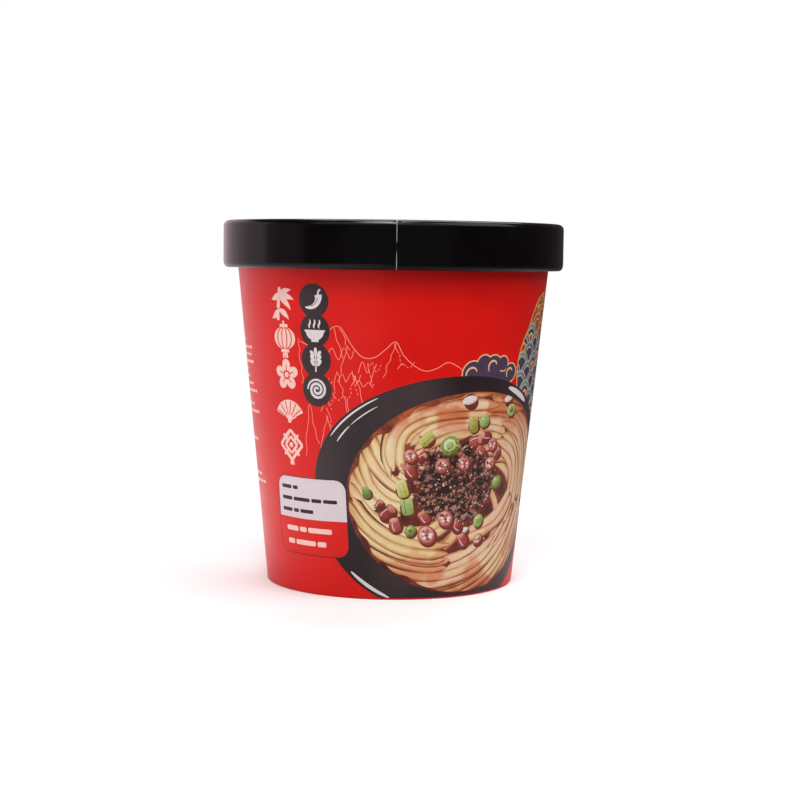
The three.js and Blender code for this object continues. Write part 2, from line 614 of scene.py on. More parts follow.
def paint_hills(sheet, blank, draw):
    """Hills in fine pale lines: a skyline, small peaks under it, and lines down the slopes."""
    foot_draw = random.Random(5)
    for middle, stretch in ((0, 1.0), (135, 1.05), (-141, 0.93)):
        lines = [smooth_path(SKYLINE)]
        for source, ranges, spines in ((draw, LOW_RANGES, SPINES), (foot_draw, FOOTHILLS, FOOT_SPINES)):
            lines += [low_range(source, *row) for row in ranges]
            lines += [spine(source, *row) for row in spines]
        for k, line in enumerate(lines):
            path = np.array([blank.spot(a, h) for a, h in line * (stretch, 1.0) + (middle, 0.0)])
            if k % 3 == 2:
                solid = len(path) // 2
                for dash in dashes(path[solid:], 0.8):
                    sheet.add(ribbon(dash, 0.10), "line")
                path = path[:solid]
            sheet.add(ribbon(path, 0.10 if k else 0.13), "line")


def dry_brush(draw, path, half, taper=0.8):
    """Outline of a brush stroke with slightly rough edges."""
    rough = np.array([draw.uniform(0.88, 1.12) for _ in path])
    return ribbon(path, brush(path, half, taper) * rough)


def leaf(root, tip, half):
    """A slim leaf, pointed at both ends and a little bent."""
    root, tip = np.asarray(root, float), np.asarray(tip, float)
    t = np.linspace(0, 1, 12)
    along = tip - root
    bend = np.array([-along[1], along[0]]) * 0.10
    path = root + along * t[:, None] + bend * np.sin(math.pi * t)[:, None]
    return ribbon(path, 0.04 + half * np.sin(math.pi * t ** 0.8))


def ornament_bamboo(draw):
    for low, high in (((-2.2, -4.9), (-1.9, -1.9)), ((-1.85, -1.4), (-1.3, 1.5)),
                      ((-1.25, 2.0), (-0.7, 4.9))):
        yield dry_brush(draw, np.linspace(low, high, 7), 0.62), "rose"
    for root, tip in (((-1.1, 2.2), (3.9, 4.2)), ((-1.0, 2.0), (4.8, 1.3)), ((-1.1, 1.8), (3.4, -1.8)),
                      ((-1.0, 3.2), (-4.6, 1.2)), ((-1.7, -1.6), (-4.8, -4.4)),
                      ((-1.6, -1.7), (2.4, -4.6))):
        yield leaf(root, tip, 0.86), "rose"


def ornament_lantern(draw):
    yield circle((0, 0.35), 4.4, 36, 0.76), "rose"
    t = np.linspace(-1.35, 1.35, 14)
    for share in (-0.66, -0.24, 0.24, 0.66):
        yield ribbon(polar(t, 4.4 * share, 3.3) + (0, 0.35), 0.20), "poppy"
    for y in (4.05, -3.35):
        yield rounded_box((0, y), 3.4, 0.95, 0.3, 3), "rose"
    yield ribbon([(0, 4.4), (0, 5.5)], 0.34), "rose"
    for x in (-0.9, 0.0, 0.9):
        yield ribbon([(0.7 * x, -3.9), (x, -5.5)], 0.30), "rose"


def ornament_blossom(draw):
    turns = [math.radians(90 + 72 * k) for k in range(5)]
    for a in turns:
        yield circle((2.85 * math.cos(a), 2.85 * math.sin(a)), 1.86, 22, 0.88, a), "rose"
    yield circle((0, 0), 1.35, 16), "poppy"
    yield circle((0, 0), 0.85, 14), "rose"
    for a in turns:
        tip = np.array([math.cos(a), math.sin(a)])
        yield ribbon([1.3 * tip, 2.9 * tip], 0.17), "poppy"


def ornament_fan(draw):
    pivot = (0, -3.1)
    rim = polar(np.radians(np.linspace(24, 156, 24)), 1)
    yield np.concatenate([rim * 6.1, rim[::-1] * 2.7]) + pivot, "rose"
    for spoke in rim[2::4]:
        yield ribbon([spoke * 2.9 + pivot, spoke * 5.8 + pivot], 0.18), "poppy"
    for spoke in rim[::4]:
        yield ribbon([pivot, spoke * 3.0 + pivot], 0.26), "rose"
    yield circle((0, -3.2), 0.75, 14), "rose"


def ornament_knot(draw):
    for size, half in ((4.5, 0.52), (2.5, 0.46)):
        corners = [(0, size), (size, 0), (0, -size), (-size, 0), (0, size)]
        for a, b in zip(corners, corners[1:]):
            yield dry_brush(draw, np.linspace(a, b, 9), half), "rose"
    for x, y in ((1, 1), (1, -1), (-1, -1), (-1, 1)):
        yield ribbon([(1.0 * x, 1.0 * y), (3.1 * x, 3.1 * y)], 0.40), "rose"
    yield circle((0, 0), 0.8, 14), "rose"
    for x in (-0.7, 0.0, 0.7):
        yield ribbon([(0.5 * x, -4.4), (x, -6.0)], 0.26), "rose"


ORNAMENTS = (ornament_bamboo, ornament_lantern, ornament_blossom, ornament_fan, ornament_knot)


def paint_ornaments(sheet, blank, draw, angle, top, pitch):
    """A column of common ornaments."""
    for k, ornament in enumerate(ORNAMENTS):
        sheet.lay(blank.stamp(angle, top - k * pitch, scale=1.12), ornament(draw))


def sign_chilli():
    body = bezier((-3.2, -2.2), (-0.4, -3.0), (2.4, -0.9), (1.9, 1.9), 14)
    yield ribbon(body, 0.15 + 1.15 * np.linspace(0, 1, 14) ** 0.7), "glint"
    yield ribbon(bezier((1.9, 1.9), (1.8, 2.7), (2.0, 3.3), (2.8, 3.6), 6), 0.32), "glint"
    yield ribbon(body[4:12] + (-0.3, 0.34), 0.12), "charcoal"


def sign_bowl():
    yield polar(np.linspace(math.pi, 2 * math.pi, 20), 3.4, 2.9) - (0, 0.4), "glint"
    yield rounded_box((0, -0.2), 7.8, 0.7, 0.3, 3), "glint"
    yield rounded_box((0, -3.4), 2.8, 0.8, 0.2, 3), "glint"
    for x in (-1.8, 0.0, 1.8):
        yield stroke(bezier((x, 0.7), (x - 0.9, 1.7), (x + 0.9, 2.4), (x, 3.5), 10), 0.34), "glint"


def sign_wheat():
    yield ribbon(bezier((-0.2, -3.9), (0.1, -2), (0, 0), (0, 2.0), 8), 0.26), "glint"
    for y in (-1.4, 0.1, 1.6):
        for side in (-1, 1):
            yield circle((side * 1.25, y + 0.5), 1.25, 16, 0.5, side * 0.95), "glint"
    yield circle((0, 3.0), 1.2, 16, 0.5, math.pi / 2), "glint"


def sign_swirl():
    t = np.linspace(0, 1, 56)
    yield stroke(polar(5.0 * math.pi * t, 0.3 + 3.3 * t), 0.46, 0.5), "glint"


def sign_kettle():
    yield circle((0.2, -0.4), 3.0, 26, 0.82), "rose"
    yield rounded_box((0.2, 2.3), 1.4, 0.7, 0.3, 3), "rose"
    yield ribbon(bezier((-2.2, -0.6), (-3.8, -0.2), (-3.6, 1.4), (-4.6, 1.8), 10), 0.45), "rose"
    yield ribbon(bezier((2.2, 1.2), (4.6, 2.6), (5.0, -1.2), (2.8, -1.8), 12), 0.32), "rose"


def sign_clock():
    yield circle((0, 0), 4.2, 36), "rose"
    yield circle((0, 0), 3.6, 36), "charcoal"
    for k in range(12):
        yield ribbon(rotated([(2.8, 0), (3.3, 0)], k * math.pi / 6), 0.16), "rose"
    yield ribbon([(0, 0), (0, 2.4)], 0.22), "rose"
    yield ribbon([(0, 0), (1.5, 0.9)], 0.26), "rose"


def sign_eating():
    yield from sign_bowl()
    for x in (-0.2, 0.9):
        yield ribbon([(x - 2.2, 4.4), (x + 0.9, -0.1)], 0.2), "rose"


def paint_discs(sheet, blank, angle, top, pitch, radius, signs):
    """A column of dark discs that just overlap, each with a simple pale sign of food."""
    stamps = [blank.stamp(angle, top - k * pitch) for k in range(len(signs))]
    for stamp in stamps:
        sheet.add(stamp(circle((0, 0), radius, 64)), "charcoal")
    for stamp, sign in zip(stamps, signs):
        sheet.lay(stamp, sign())


def paint_steps(sheet, blank):
    """Three discs on the side that show the steps: hot water, a wait, and eating."""
    for k, sign in enumerate((sign_kettle, sign_clock, sign_eating)):
        angle, height = -146.0 + 20.0 * k, 21.0
        for radius, name in ((6.6, "rose"), (6.2, "charcoal")):
            sheet.add(blank.stamp(angle, height)(circle((0, 0), radius, 44)), name)
        sheet.lay(blank.stamp(angle, height, scale=0.92), sign())


def bars(*rows):
    """Rows of plain bars. Each row is its height, its left end, a thickness and the bars' lengths."""
    for y, x, thick, lengths in rows:
        for reach in lengths:
            yield rounded_box((x + reach / 2, y), reach, thick, thick * 0.3, 2)
            x += reach + 0.7


def in_ink(outlines, name):
    return ((outline, name) for outline in outlines)


def paint_panel(sheet, blank, angle, height):
    """A two-part label panel with a dark outline and plain marks."""
    stamp = blank.stamp(angle, height)
    width, tall, corner = 28.6, 26.0, 3.8
    sheet.add(stamp(rounded_box((0, 0), width + 0.5, tall + 0.5, corner + 0.25)), "black")
    body = sheet.add(stamp(rounded_box((0, 0), width, tall, corner)), "panel")
    lower = [(-width, -tall), (width, -tall), (width, -0.9), (-width, -0.9)]
    sheet.add(stamp(lower), "poppy", body)
    dark = bars((9.5, -12.4, 1.25, (4.9, 2.3)), (5.6, -12.4, 1.25, (5.0, 7.2, 4.0, 5.2)),
                (1.7, -12.4, 1.25, (4.8, 2.4, 5.6)))
    pale = bars((-4.6, -10.8, 1.7, (5.6, 3.0, 9.4)), (-9.1, -10.4, 1.7, (3.2, 8.6, 3.4)))
    sheet.lay(stamp, in_ink(dark, "black"), body)
    sheet.lay(stamp, in_ink(pale, "rose"), body)


def paint_notes(sheet, blank, draw):
    """Small blocks of fine bars at the left of the front."""
    for height, rows in ((84, 8), (62, 2), (50, 1), (38, 2)):
        lines = [(-2.5 * r, -6.0, 0.95, [draw.uniform(1.4, 4.4) for _ in range(draw.randint(2, 4))])
                 for r in range(rows)]
        sheet.lay(blank.stamp(-76.0, height), in_ink(bars(*lines), "rose"))


def paint_table(sheet, blank, draw):
    """A ruled table round the side, with bars in place of its entries."""
    stamp = blank.stamp(-126.0, 62.0)
    body = sheet.add(stamp(rounded_box((0, 0), 44.0, 50.0, 2.0)), "panel")
    sheet.add(stamp(rounded_box((0, 21.2), 60.0, 7.6, 0.5)), "charcoal", body)
    for r in range(8):
        y = 13.2 - 5.0 * r
        sheet.add(stamp(rounded_box((0, y - 2.5), 41.0, 0.3, 0.1, 1)), "black", body)
        entries = bars((y, -19.5, 1.6, [draw.uniform(2, 5) for _ in range(2)]),
                       (y, 2.0, 1.6, [draw.uniform(2, 4)]), (y, 13.0, 1.6, [draw.uniform(2, 4)]))
        sheet.lay(stamp, in_ink(entries, "black"), body)
    sheet.lay(stamp, in_ink(bars((21.2, -19.5, 2.4, (3, 3, 3, 3))), "rose"), body)


def cloud(lobes=5):
    """A common scroll cloud: round lobes with a fine edge line and a curl in some of them."""
    spots = []
    for k in range(lobes):
        t = k / (lobes - 1)
        y = 2.6 * math.sin(math.pi * t) + (1.5 if k % 2 else 0.0)
        spots.append((-9.0 + 18.0 * t, y, 3.4 + (0.9 if k % 2 == 0 else 0.0) - 1.2 * t))
    for x, y, r in spots:
        yield circle((x, y), r + 0.45, 36), "apricot"
    yield rounded_box((0, -2.2), 19.0, 5.4, 2.6), "plum"
    for x, y, r in spots:
        yield circle((x, y), r, 36), "plum"
    t = np.linspace(0.4, 3.9, 22)
    for x, y, r in spots[::2]:
        yield stroke(polar(t, r * (0.30 + 0.12 * t)) + (x, y), 0.36, 0.2), "apricot"


def scales():
    """The common overlapping-scale wave pattern: warm at the top right, blue below."""
    radius = 5.2
    for row in range(15):
        y = 21.0 - row * radius * 0.62 - 2.0
        for column in range(-4, 5):
            x = (column + (row % 2) / 2) * radius * 2
            first, second = ("chilli", "broth") if y > 5 - 0.3 * x else ("blue", "plum")
            rings = [(1.0, "straw"), (0.93, first), (0.68, "straw"), (0.61, second)]
            if (row + column) % 3 == 0:
                rings += [(0.36, "straw"), (0.2, "poppy")]
            for share, name in rings:
                yield circle((x, y), radius * share, 22), name


def paint_wave(sheet, blank, angle, height):
    """A patch of scales with a wavy outline."""
    stamp = blank.stamp(angle, height)
    steps = np.linspace(0, 2 * math.pi, 120, endpoint=False)
    edge = 1 + 0.07 * np.abs(np.sin(3.5 * steps))
    outline = polar(steps, 16.5 * edge, 21.5 * edge)
    outline[:, 0] += 4.5 * np.sin(steps)
    sheet.add(stamp(outline * 1.03), "straw")
    sheet.lay(stamp, scales(), sheet.add(stamp(outline), "plum"))


# The pictured bowl of noodles

BOWL_WIDE, BOWL_TALL = 49.5, 36.2
FOOD_MIDDLE, FOOD_WIDE, FOOD_TALL = (4.9, -3.2), 42.6, 34.0
HEAP = np.array([-0.3, 0.8])


def paint_bowl(sheet, blank, angle, height, draw):
    """A dark bowl of noodles seen from above its near side."""
    stamp = blank.stamp(angle, height)
    middle, lean = stamp((0, 0)), math.radians(angle) * blank.fan

    def dimming(points):
        """Darker towards the edge of the broth, and close round the heap."""
        local = rotated(points - middle, -lean)
        out = np.hypot(*((local - FOOD_MIDDLE) / (FOOD_WIDE, FOOD_TALL)).T)
        near = np.hypot(*((local - HEAP) / (1.15, 1.0)).T)
        return 2.6 * ((out - 0.86) / 0.14).clip(0, 1) ** 1.5 + 1.5 * ((16.5 - near) / 4).clip(0, 1)

    sheet.add(stamp(on_ellipse((0, -6), BOWL_WIDE - 1, 38.0)[:-1]), "charcoal")
    sheet.add(stamp(on_ellipse((0, 0), BOWL_WIDE, BOWL_TALL)[:-1]), "charcoal")
    food = sheet.add(stamp(on_ellipse(FOOD_MIDDLE, FOOD_WIDE, FOOD_TALL)[:-1]), "broth")
    sheet.dimming = dimming
    paint_noodles(sheet, stamp, food, draw)
    sheet.dimming = lambda points: 0.0
    sheet.lay(stamp, toppings(draw), food)
    for centre, tall, share, start, end, half in ((0, BOWL_TALL, 0.975, 127, 157, 0.30),
                                                  (0, BOWL_TALL, 0.915, 130, 146, 0.20),
                                                  (0, BOWL_TALL, 0.915, 147, 158, 0.26),
                                                  (0, BOWL_TALL, 0.955, 47, 65, 0.95),
                                                  (-6, 38.0, 0.955, 223, 243, 0.60)):
        line = on_ellipse((0, centre), BOWL_WIDE * share, tall * share, start, end, 22)
        sheet.add(stamp(stroke(line, half, 0.25)), "glint")


def edge_reach(start, direction, centre, wide, tall):
    """Distance from a point inside an ellipse to its edge."""
    o = (start - np.asarray(centre)) / (wide, tall)
    d = direction / np.array([wide, tall])
    a, b, c = d @ d, 2 * o @ d, o @ o - 1
    return (-b + math.sqrt(b * b - 4 * a * c)) / (2 * a)


def wound(draw, begin):
    """A path that winds inwards from the edge of the broth to the heap."""
    sweep, bend = draw.uniform(80, 170), draw.uniform(1.4, 3.0)
    path = []
    for u in np.linspace(0, 1, 26):
        a = math.radians(begin + sweep * u)
        direction = np.array([math.cos(a), math.sin(a)])
        share = 0.97 - 0.80 * u ** bend
        path.append(HEAP + direction * share * edge_reach(HEAP, direction, FOOD_MIDDLE, FOOD_WIDE,
                                                          FOOD_TALL))
    return np.array(path)


# Bundles in painting order: four points that bend each one, and how many noodles it has
BUNDLES = (
    ((35, 24), (14, 32), (-10, 31), (-25, 20), 2),
    ((31, 18), (12, 25), (-10, 24), (-17, 13), 3),
    ((26, 14), (14, 21), (-4, 21), (-13, 14), 3),
    ((46, -18), (50, 0), (46, 16), (33, 25), 3),
    ((5, -40), (23, -36), (38, -22), (42, -4), 3),
    ((-11, -38), (10, -38), (28, -28), (36, -6), 3),
    ((-24, -36), (-4, -37), (18, -30), (31, -10), 3),
    ((40, -12), (44, 2), (40, 14), (25, 22), 3),
    ((33, -10), (38, 2), (35, 13), (19, 18), 3),
    ((27, -8), (31, 0), (29, 8), (16, 13), 3),
    ((-36, 7), (-35, -4), (-28, -9), (-19, -11), 2),
    ((-33, 12), (-31, 1), (-25, -5), (-16, -7), 2),
    ((-30.5, 17), (-29, 7), (-25, 1), (-17, 0), 3),
    ((13, 26), (-14, 29.5), (-30, 22), (-21, 3), 3),
    ((-34, -22), (-22, -36), (8, -36), (26, -15), 3),
    ((-37, -15), (-29, -29), (-6, -34), (16, -20), 3),
    ((-38.5, -11), (-32, -24), (-18, -28), (-1, -26), 2),
    ((-37.8, -1), (-34, -12), (-27, -17), (-14, -20), 2),
    ((-38.5, -6), (-33, -18), (-20, -23), (-3, -22.5), 3),
    ((4, -18), (13, -15), (21, -12), (27, -6), 2),
)


def paint_noodles(sheet, stamp, food, draw):
    """Loose noodles all round, and over them bundles that wind inwards to the heap."""
    layers = [(wound(draw, 137.5 * k), draw.randint(1, 2), 0.3) for k in range(11)]
    layers += [(bezier(*points, 30), count, 0.0) for *points, count in BUNDLES]
    for spine, count, depth in layers:
        t = np.linspace(0, 1, len(spine))
        phase = draw.uniform(0, 6.28)
        side = normals_of(spine)
        spine = spine + side * (0.5 * np.sin(5 * t + phase))[:, None]
        pinch = 1 - 0.3 * t
        ends = np.sqrt((t / 0.10 + 0.02).clip(0, 1) * ((1 - t) / 0.10 + 0.02).clip(0, 1))
        sheet.add(stamp(ribbon(spine, (0.7 + 1.42 * count * pinch) * ends)), "shade", food)
        order = list(range(count))
        draw.shuffle(order)
        for strand in order:
            half = 1.12 * draw.uniform(1.3, 1.75)
            shift = (strand - (count - 1) / 2) * 3.05 + draw.uniform(-0.25, 0.25)
            drift = 0.5 * np.sin(4 * t + phase + 1.7 * strand)
            slip = draw.uniform(-1.2, 1.2)
            path = spine + side * (shift * pinch + drift)[:, None] + slip * np.gradient(spine, axis=0)
            size = half * ends * (1 + 0.10 * np.sin(7 * t + phase + 2 * strand)) * (0.6 + 0.4 * pinch)
            sheet.strand(stamp(path), size, "noodle", food, 0.22, depth)
    paint_shore(sheet, stamp, food, draw)


def paint_shore(sheet, stamp, food, draw):
    """Broth round the edge, in which the ends of the noodles sink."""
    for start, end, reach in ((8, 100, 0.9), (92, 176, 2.0), (170, 262, 1.5), (256, 370, 0.8)):
        line = on_ellipse(FOOD_MIDDLE, FOOD_WIDE, FOOD_TALL, start, end, 46)
        t = np.linspace(0, 1, 46)
        phase = draw.uniform(0, 6.28)
        rough = 1 + 0.35 * np.sin(17 * t + phase) + 0.3 * np.sin(41 * t + 2 * phase)
        sheet.add(stamp(ribbon(line, reach * rough * (0.3 + 0.7 * np.sin(math.pi * t)))), "broth", food)


def crumb(draw, centre, radius):
    """An uneven scrap with six to nine corners."""
    corners = draw.randint(6, 9)
    return np.array([(centre[0] + radius * draw.uniform(0.6, 1.2) * math.cos(2 * math.pi * i / corners),
                      centre[1] + radius * draw.uniform(0.5, 1.1) * math.sin(2 * math.pi * i / corners))
                     for i in range(corners)])


def scatter(draw, wide, tall):
    """A random place on the heap."""
    a = draw.uniform(0, 2 * math.pi)
    r = math.sqrt(draw.random())
    return HEAP + np.array([wide * r * math.cos(a), tall * r * math.sin(a)])


def toppings(draw):
    """Dark mince with slices of chilli and spring onion, garlic, seeds and nut crumbs."""
    steps = np.linspace(0, 2 * math.pi, 60, endpoint=False)
    ragged = 1 + 0.09 * np.sin(5 * steps + 1) + 0.06 * np.sin(11 * steps)
    for share, name in ((1.14, "shade"), (1.0, "black")):
        yield HEAP + share * polar(steps, 14.2 * ragged, 12.4 * ragged), name
    for _ in range(420):
        spot = scatter(draw, 15.6, 13.8)
        yield crumb(draw, spot, draw.uniform(0.35, 1.1)), "mince"
    for _ in range(60):
        spot, a = scatter(draw, 14.0, 12.0), draw.uniform(0, math.pi)
        reach = draw.uniform(0.5, 1.3) * np.array([math.cos(a), math.sin(a)])
        shred = [spot - reach, spot + 0.2 * reach[::-1], spot + reach]
        yield ribbon(shred, 0.2), draw.choice(("broth", "chilli", "shade"))
    for _ in range(70):
        away = 3.8 * math.sqrt(draw.random())
        spot = rotated([(away, 0.0)], draw.uniform(0, 6.3))[0] + (-16.2, 6.6)
        yield crumb(draw, spot, draw.uniform(0.4, 1.0)), draw.choice(("chilli", "flesh", "seed", "broth"))
    for topping, places in TOPPINGS:
        for x, y, radius in places:
            spot, turn = np.array([x, y]), draw.uniform(0, math.pi)
            yield circle(spot + (0.5, -0.7), radius * 1.04, 24, 0.9, turn), "shade"
            yield from topping(draw, spot, radius, turn)
    for _ in range(150):
        spot = scatter(draw, 14.5, 12.6)
        yield crumb(draw, spot, draw.uniform(0.25, 0.65)), "mince"
    for _ in range(80):
        spot = scatter(draw, 17.0, 15.5)
        size, squash = draw.uniform(0.18, 0.42), draw.uniform(0.5, 0.9)
        grain = circle(spot, size, 7, squash, draw.uniform(0, 3))
        yield grain, draw.choice(("seed", "seed", "flesh", "glint"))


def chilli_slice(draw, spot, radius, turn):
    squash = draw.uniform(0.74, 0.98)
    yield circle(spot, radius, 28, squash, turn), "chilli"
    yield circle(spot + (-0.1, 0.14), radius * 0.80, 24, squash, turn), "flesh"
    for k in range(7):
        a = k * math.tau / 7 + draw.uniform(-0.25, 0.25)
        ray = np.array([(0.24, 0.0), (draw.uniform(0.5, 0.68), 0.0)]) * radius
        ray = rotated(rotated(ray, a) * (1, squash), turn)
        yield ribbon(ray + spot, 0.12 * radius), "glint" if k % 3 else "chilli"
    yield circle(spot, radius * 0.16, 9), "chilli"


def chilli_chunk(draw, spot, radius, turn):
    body = rounded_box((0, 0), radius * 1.9, radius * 1.25, radius * 0.4, 4)
    yield rotated(body, turn) + spot, "chilli"
    face = circle((radius * 0.62, 0), radius * 0.5, 16, 0.6, math.pi / 2)
    yield rotated(face, turn) + spot, "flesh"
    shine = bezier((-0.75, 0.2), (-0.4, 0.36), (0.0, 0.36), (0.3, 0.26), 6) * radius
    yield ribbon(rotated(shine, turn) + spot, 0.13), "glint"


def onion_slice(draw, spot, radius, turn):
    squash = draw.uniform(0.8, 0.98)
    yield circle(spot, radius, 26, squash, turn), "leek"
    if draw.random() < 0.6:
        yield circle(spot + (-0.15, 0.2), radius * 0.62, 20, squash, turn), "heart"
        yield circle(spot + (-0.05, 0.1), radius * 0.40, 14, squash, turn), "leek"
    yield circle(spot + (-0.36 * radius, 0.42 * radius), radius * 0.17, 9, 0.6, 0.7), "glint"


def onion_chunk(draw, spot, radius, turn):
    body = rounded_box((0, 0), radius * 2.1, radius * 1.3, radius * 0.4, 4)
    yield rotated(body, turn) + spot, "heart" if draw.random() < 0.6 else "leek"
    for y in (-0.2, 0.25):
        rib = np.array([(-0.8, y), (0.8, y)]) * radius
        yield ribbon(rotated(rib, turn) + spot, 0.12), "leek"


def garlic(draw, spot, radius, turn):
    lean = 0.3 * math.sin(turn)
    yield circle(spot, radius, 24, 0.5, lean), "seed"
    yield circle(spot + (-0.1, 0.15), radius * 0.8, 20, 0.42, lean), "glint"


# Toppings in painting order: places and radii in the bowl's own millimetres
TOPPINGS = (
    (garlic, ((2.4, 28.2, 2.9), (20.4, 27.6, 2.4), (3.2, -15.8, 2.2))),
    (onion_chunk, ((4.4, 20.0, 2.7), (-17.4, -7.0, 3.0), (-12.2, 15.4, 2.6), (-19.4, -1.4, 2.8),
                         (-31.0, -3.4, 1.9), (-27.0, -7.6, 1.8))),
    (onion_slice, ((-4.0, 13.2, 3.5), (9.0, 20.8, 2.2), (22.6, 23.4, 2.5), (9.2, -13.0, 2.3),
                         (-15.8, -15.4, 2.0), (17.0, -0.6, 2.7))),
    (chilli_chunk, ((-23.8, -9.6, 3.1), (-21.0, -13.6, 2.6), (-17.2, 4.6, 2.5), (5.8, 14.4, 2.9),
                          (3.0, -19.0, 2.8), (10.2, 15.8, 2.3), (-11.6, -10.8, 2.4), (0.4, -14.2, 2.3),
                          (16.0, 9.6, 2.1), (8.2, 11.0, 2.0), (-13.6, 9.4, 1.9), (-26.6, -7.0, 1.8))),
    (chilli_slice, ((-6.4, 6.6, 2.6), (1.8, 6.9, 2.9), (12.8, 6.2, 2.4), (-10.2, -16.8, 3.5),
                          (-4.0, -11.4, 3.1), (9.6, -19.4, 2.3), (-17.4, 9.6, 2.4), (13.4, 12.6, 2.3))),
)


def print_wall(blank, low, high, half_turn):
    """The whole print, in painting order, from the ground to the label panel."""
    sheet = FlatPrint()
    draw = random.Random(20)
    angles = np.linspace(-half_turn, half_turn, 145)
    heights = np.linspace(low, high, 25)
    outline = [blank.spot(a, low) for a in angles]
    outline += [blank.spot(half_turn, h) for h in heights[1:-1]]
    outline += [blank.spot(a, high) for a in angles[::-1]]
    outline += [blank.spot(-half_turn, h) for h in heights[-2:0:-1]]
    sheet.add(outline, "poppy")
    paint_hills(sheet, blank, draw)
    paint_notes(sheet, blank, draw)
    paint_table(sheet, blank, draw)
    paint_ornaments(sheet, blank, draw, -43.6, 97.0, 11.7)
    paint_discs(sheet, blank, -29.2, 98.4, 9.7, 5.6, (sign_chilli, sign_bowl, sign_wheat, sign_swirl))
    paint_steps(sheet, blank)
    paint_wave(sheet, blank, 76.5, 80.0)
    for middle, height, scale in ((41.5, 75.0, 0.95), (146.0, 60.0, 1.1), (-165.0, 46.0, 0.8)):
        sheet.lay(blank.stamp(middle, height, scale=scale), cloud())
    paint_bowl(sheet, blank, 28.5, 38.4, draw)
    paint_panel(sheet, blank, -36.0, 26.4)
    return sheet, angles, heights


# Board pieces before they are rolled

class Board:
    """Corners with an angle, radius, height and share of the lap, and the faces between them."""

    def __init__(self):
        self.corners, self.faces, self.inks, self.marks, self.places = [], [], [], [], []

    def corner(self, angle, radius, height, share):
        self.corners.append((angle, radius, height, share))
        return len(self.corners) - 1

    def face(self, corners, name, place=None, marks=None):
        """place is where the face's corners lie on the piece's own map."""
        self.faces.append(corners)
        self.inks.append(name)
        self.places.append(place)
        self.marks.append(marks)


def new_tree(name, sizes):
    """A geometry tree with named inputs. Returns it, its inputs and the socket for its result."""
    tree = bpy.data.node_groups.new(name, "GeometryNodeTree")
    face = tree.interface
    face.new_socket("Geometry", in_out="INPUT", socket_type="NodeSocketGeometry")
    for title, kind in sizes.items():
        face.new_socket(title, in_out="INPUT", socket_type="NodeSocket" + kind)
    face.new_socket("Geometry", in_out="OUTPUT", socket_type="NodeSocketGeometry")
    return tree, add_node(tree, "NodeGroupInput").outputs, add_node(tree, "NodeGroupOutput").inputs[0]


def stored(tree, name, kind):
    """A value that the mesh carries under a name."""
    return add_node(tree, "GeometryNodeInputNamedAttribute", named={"Name": name},
                    data_type=kind).outputs[0]


def dressed(tree, geometry, material, where=True):
    return add_node(tree, "GeometryNodeSetMaterial", geometry, where, material).outputs[0]


def roll_tree(inks):
    """Rolls flat board round the axis: X is the angle, Y the radius and Z the height."""
    tree, given, result = new_tree("Roll the board", {"Seam angle": "Float", "Lap angle": "Float",
                                                      "Lap thickness": "Float"})
    angle, radius, height = split(tree, add_node(tree, "GeometryNodeInputPosition").outputs[0])
    share = stored(tree, "lap_share", "FLOAT")
    start = calc(tree, "SUBTRACT", given["Seam angle"], given["Lap angle"])
    rise = remap(tree, angle, start, given["Seam angle"], smooth=True)
    lap = scaled(tree, scaled(tree, rise, share), given["Lap thickness"])
    radius = calc(tree, "ADD", radius, lap)
    right = scaled(tree, radius, calc(tree, "SINE", angle))
    back = scaled(tree, radius, scaled(tree, calc(tree, "COSINE", angle), -1.0))
    place = joined(tree, right, back, height)
    move = add_node(tree, "GeometryNodeSetPosition", named={"Geometry": given[0], "Position": place})
    geometry = add_node(tree, "GeometryNodeRealizeInstances", move.outputs[0]).outputs[0]
    ink = stored(tree, "ink", "INT")
    for number, material in enumerate(inks):
        same = add_node(tree, "FunctionNodeCompare", data_type="INT", operation="EQUAL")
        first, second = [s for s in same.inputs if s.type == "INT"]
        feed(tree, ink, first)
        feed(tree, number, second)
        geometry = dressed(tree, geometry, material, same.outputs[0])
    feed(tree, geometry, result)
    return tree


def run_tree(obj, tree, **inputs):
    """Runs a node tree on an object, and keeps the result as its plain mesh."""
    modifier = obj.modifiers.new(tree.name, "NODES")
    modifier.node_group = tree
    for item in tree.interface.items_tree:
        if item.in_out == "INPUT" and item.name in inputs:
            modifier[item.identifier] = inputs[item.name]
    graph = bpy.context.evaluated_depsgraph_get()
    graph.update()
    mesh = bpy.data.meshes.new_from_object(obj.evaluated_get(graph), preserve_all_data_layers=True,
                                           depsgraph=graph)
    obj.modifiers.clear()
    flat = obj.data
    obj.data = mesh
    bpy.data.meshes.remove(flat)
    mesh.name = obj.name
    return obj


def store(mesh, name, kind, domain, values):
    """Gives every point, face or corner of a mesh a value under a name."""
    layer = mesh.attributes.new(name, kind, domain)
    layer.data.foreach_set("vector" if kind == "FLOAT_VECTOR" else "value", values)


